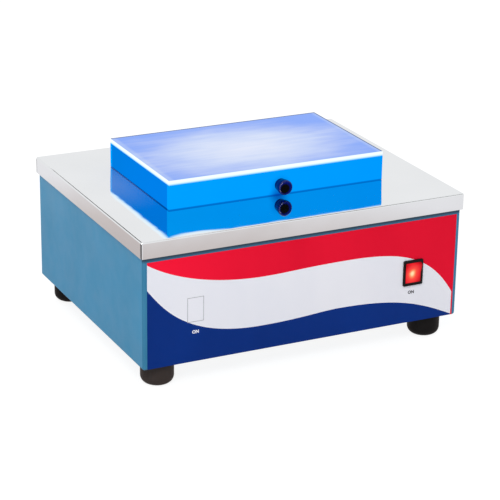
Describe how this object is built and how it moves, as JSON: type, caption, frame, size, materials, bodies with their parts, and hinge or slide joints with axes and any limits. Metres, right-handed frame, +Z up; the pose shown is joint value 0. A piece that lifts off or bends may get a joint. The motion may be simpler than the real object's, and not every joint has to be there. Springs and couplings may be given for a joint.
{
  "type": "uv transilluminator",
  "caption": "Bench UV transilluminator: sheet-steel case with ultraviolet tubes under a filter window, hinged acrylic shield, lit rocker switch and fused inlet.",
  "frame": {"origin": "on the floor under the middle of the case, midway between the rocker's nose and the fuse drawer's grip", "axes": "+X along the case's width to the user's right, +Y to the rear, +Z up"},
  "size_m": [0.403, 0.3303, 0.213],
  "materials": {
    "case_paint": "satin powder coat",
    "polished_steel": "mirror-polished stainless sheet",
    "zinc_steel": "bright zinc",
    "hinge_steel": "satin stainless",
    "black_rubber": "matte",
    "gasket_rubber": "matte",
    "filter_glass": "polished, lit from below",
    "frame_paint": "matte black",
    "azure_acrylic": "polished translucent acrylic",
    "clear_acrylic": "hazy clear acrylic that glows at its edges",
    "printed_overlay": "satin printed film",
    "black_plastic": "gloss",
    "red_rocker": "translucent red, lit",
    "contact_brass": "bright",
    "fuse_glass": "clear",
    "white_plastic": "satin",
    "reflector_aluminium": "bright",
    "tube_glass": "coated lamp tube"
  },
  "bodies": {
    "case": {"cabinet_shell": "case_paint", "steel_top": "polished_steel", "base_plate": "zinc_steel", "base_screws": "zinc_steel", "base_nuts": "zinc_steel", "foot_screws": "zinc_steel", "foot_nuts": "zinc_steel", "top_studs": "zinc_steel", "top_nuts": "zinc_steel", "filter_nuts": "zinc_steel", "inlet_screws": "zinc_steel", "inlet_nuts": "zinc_steel", "rail_screws": "zinc_steel", "rail_nuts": "zinc_steel", "ballast_screws": "zinc_steel", "ballast_nuts": "zinc_steel", "lamp_rails": "zinc_steel", "hinge_fixed_leaves": "hinge_steel", "hinge_pins": "hinge_steel", "hinge_top_screws": "hinge_steel", "hinge_top_nuts": "hinge_steel", "rubber_feet": "black_rubber", "filter_gasket": "gasket_rubber", "filter_glass": "filter_glass", "filter_frame": "frame_paint", "front_overlay": "printed_overlay", "switch_body": "black_plastic", "power_inlet": "black_plastic", "switch_terminals": "contact_brass", "inlet_blades": "contact_brass", "earth_stud": "contact_brass", "lamp_holders": "white_plastic", "ballasts": "white_plastic", "terminal_block": "white_plastic", "reflector": "reflector_aluminium", "tube_caps": "reflector_aluminium", "uv_tubes": "tube_glass"},
    "cover": {"cover_top_sheet": "clear_acrylic", "cover_front_wall": "azure_acrylic", "cover_rear_wall": "azure_acrylic", "cover_left_wall": "azure_acrylic", "cover_right_wall": "azure_acrylic", "cover_knob": "black_plastic", "knob_screw": "zinc_steel", "hinge_moving_leaves": "hinge_steel", "hinge_cover_screws": "hinge_steel"},
    "rocker": {"switch_rocker": "red_rocker"},
    "drawer": {"fuse_drawer": "black_plastic", "fuses": "fuse_glass"}
  },
  "joints": [
    {"name": "cover_hinge", "type": "hinge", "parent": "case", "child": "cover", "pos_m": [0.0025, 0.094, 0.181], "axis": [-1, 0, 0], "range_deg": [0, 98]},
    {"name": "rocker_tilt", "type": "hinge", "parent": "case", "child": "rocker", "pos_m": [0.138, -0.1581, 0.09], "axis": [-1, 0, 0], "range_deg": [0, 18]},
    {"name": "drawer_slide", "type": "slide", "parent": "case", "child": "drawer", "axis": [0, 1, 0], "range_m": [0, 0.02]}
  ]
}
